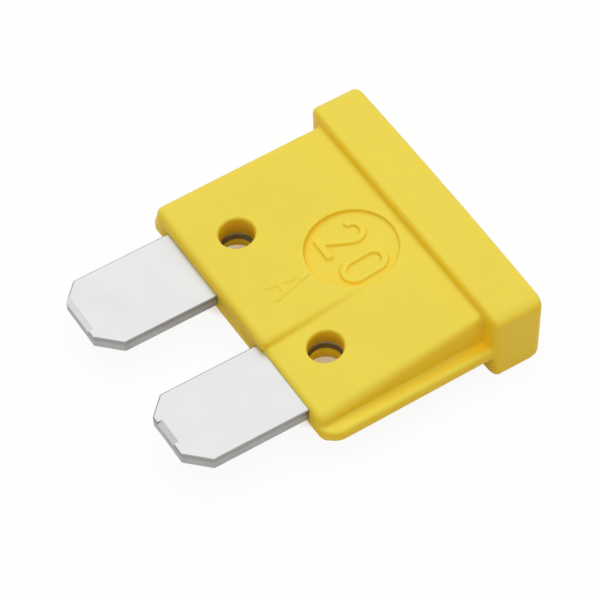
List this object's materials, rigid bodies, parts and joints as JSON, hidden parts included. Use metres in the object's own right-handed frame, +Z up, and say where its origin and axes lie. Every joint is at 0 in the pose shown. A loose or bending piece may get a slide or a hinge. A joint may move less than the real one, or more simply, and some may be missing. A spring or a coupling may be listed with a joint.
{
  "type": "automotive blade fuse",
  "caption": "Plug-in blade fuse: a moulded yellow housing with a grip head, round a stamped metal element whose flat blades slide into a fuse holder.",
  "frame": {"origin": "middle of the overall box, on the surface that the fuse lies on", "axes": "+X across the two blades, +Y from the blade tips to the grip head, +Z up through the thickness, out of the face that carries the rating"},
  "size_m": [0.019, 0.0214, 0.0051],
  "materials": {
    "housing_plastic": "satin, yellow",
    "element_metal": "satin, tin-plated"
  },
  "bodies": {
    "root": {"housing": "housing_plastic", "element": "element_metal"}
  },
  "joints": []
}
